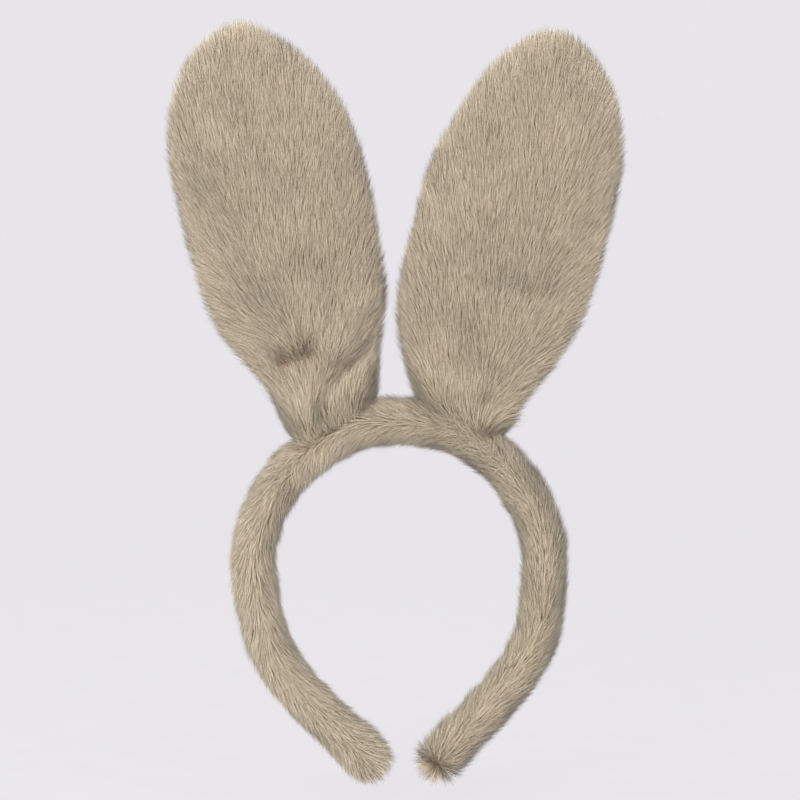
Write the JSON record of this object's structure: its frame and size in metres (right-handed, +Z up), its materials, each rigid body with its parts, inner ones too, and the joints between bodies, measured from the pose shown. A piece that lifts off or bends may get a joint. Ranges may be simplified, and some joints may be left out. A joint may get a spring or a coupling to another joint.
{
  "type": "animal ears headband",
  "caption": "Springy C-shaped headband in soft faux fur with two upright plush rabbit ears that fold and bend, worn over the head.",
  "frame": {"origin": "middle of the crown's underside, where the band rests on a head", "axes": "+Z up as worn, along the ears; -Y is the front; +X is the right-hand side seen from the front"},
  "size_m": [0.21, 0.021, 0.3491],
  "materials": {
    "fur": "dense beige faux rabbit fur, pile about 6 mm, lying towards the ear and band tips",
    "band_core": "moulded springy plastic strip",
    "band_foam": "soft open-cell foam sleeve",
    "ear_stuffing": "polyester fibre stuffing",
    "rim_wire": "soft bendable steel wire",
    "thread": "twisted sewing thread, beige"
  },
  "bodies": {
    "crown": {"crown_core": "band_core", "crown_cover": "fur", "crown_foam": "band_foam", "left_ear_binding_thread": "thread", "left_ear_root_back": "fur", "left_ear_root_front": "fur", "left_ear_root_wire_inner": "rim_wire", "left_ear_root_wire_outer": "rim_wire", "right_ear_binding_thread": "thread", "right_ear_root_back": "fur", "right_ear_root_front": "fur", "right_ear_root_wire_inner": "rim_wire", "right_ear_root_wire_outer": "rim_wire"},
    "left_upper_arm": {"left_upper_arm_core": "band_core", "left_upper_arm_cover": "fur", "left_upper_arm_foam": "band_foam"},
    "left_lower_arm": {"left_lower_arm_core": "band_core", "left_lower_arm_cover": "fur", "left_lower_arm_foam": "band_foam", "left_tip_draw_thread": "thread", "left_tip_gather": "fur"},
    "right_upper_arm": {"right_upper_arm_core": "band_core", "right_upper_arm_cover": "fur", "right_upper_arm_foam": "band_foam"},
    "right_lower_arm": {"right_lower_arm_core": "band_core", "right_lower_arm_cover": "fur", "right_lower_arm_foam": "band_foam", "right_tip_draw_thread": "thread", "right_tip_gather": "fur"},
    "left_ear_lower": {"left_ear_lower_back": "fur", "left_ear_lower_front": "fur", "left_ear_lower_stuffing": "ear_stuffing", "left_ear_lower_wire_inner": "rim_wire", "left_ear_lower_wire_outer": "rim_wire"},
    "left_ear_upper": {"left_ear_upper_back": "fur", "left_ear_upper_front": "fur", "left_ear_upper_stuffing": "ear_stuffing", "left_ear_upper_wire": "rim_wire"},
    "right_ear_lower": {"right_ear_lower_back": "fur", "right_ear_lower_front": "fur", "right_ear_lower_stuffing": "ear_stuffing", "right_ear_lower_wire_inner": "rim_wire", "right_ear_lower_wire_outer": "rim_wire"},
    "right_ear_upper": {"right_ear_upper_back": "fur", "right_ear_upper_front": "fur", "right_ear_upper_stuffing": "ear_stuffing", "right_ear_upper_wire": "rim_wire"}
  },
  "joints": [
    {"name": "left_arm_flex", "type": "hinge", "parent": "crown", "child": "left_upper_arm", "pos_m": [-0.06202, 0, -0.02975], "axis": [0, 1, 0], "range_deg": [-1, 12], "stiffness_Nm_per_rad": 1.2},
    {"name": "left_arm_tip_flex", "type": "hinge", "parent": "left_upper_arm", "child": "left_lower_arm", "pos_m": [-0.064, 0, -0.0905], "axis": [0, 1, 0], "range_deg": [-0.8, 9.6], "stiffness_Nm_per_rad": 0.8},
    {"name": "right_arm_flex", "type": "hinge", "parent": "crown", "child": "right_upper_arm", "pos_m": [0.06202, 0, -0.02975], "axis": [0, -1, 0], "range_deg": [-1, 12], "stiffness_Nm_per_rad": 1.2},
    {"name": "right_arm_tip_flex", "type": "hinge", "parent": "right_upper_arm", "child": "right_lower_arm", "pos_m": [0.066, 0, -0.0905], "axis": [0, -1, 0], "range_deg": [-0.8, 9.6], "stiffness_Nm_per_rad": 0.8},
    {"name": "left_ear_fold", "type": "hinge", "parent": "crown", "child": "left_ear_lower", "pos_m": [-0.04077, 0, 0.043], "axis": [1, 0, 0], "range_deg": [-70, 70]},
    {"name": "left_ear_bend", "type": "hinge", "parent": "left_ear_lower", "child": "left_ear_upper", "pos_m": [-0.057, 0, 0.115], "axis": [1, 0, 0], "range_deg": [-70, 70]},
    {"name": "right_ear_fold", "type": "hinge", "parent": "crown", "child": "right_ear_lower", "pos_m": [0.04302, 0, 0.043], "axis": [1, 0, 0], "range_deg": [-70, 70]},
    {"name": "right_ear_bend", "type": "hinge", "parent": "right_ear_lower", "child": "right_ear_upper", "pos_m": [0.05767, 0, 0.115], "axis": [1, 0, 0], "range_deg": [-70, 70]}
  ],
  "couplings": [
    {"joint": "left_arm_tip_flex", "follows": "left_arm_flex", "ratio": 0.8},
    {"joint": "right_arm_tip_flex", "follows": "right_arm_flex", "ratio": 0.8}
  ]
}
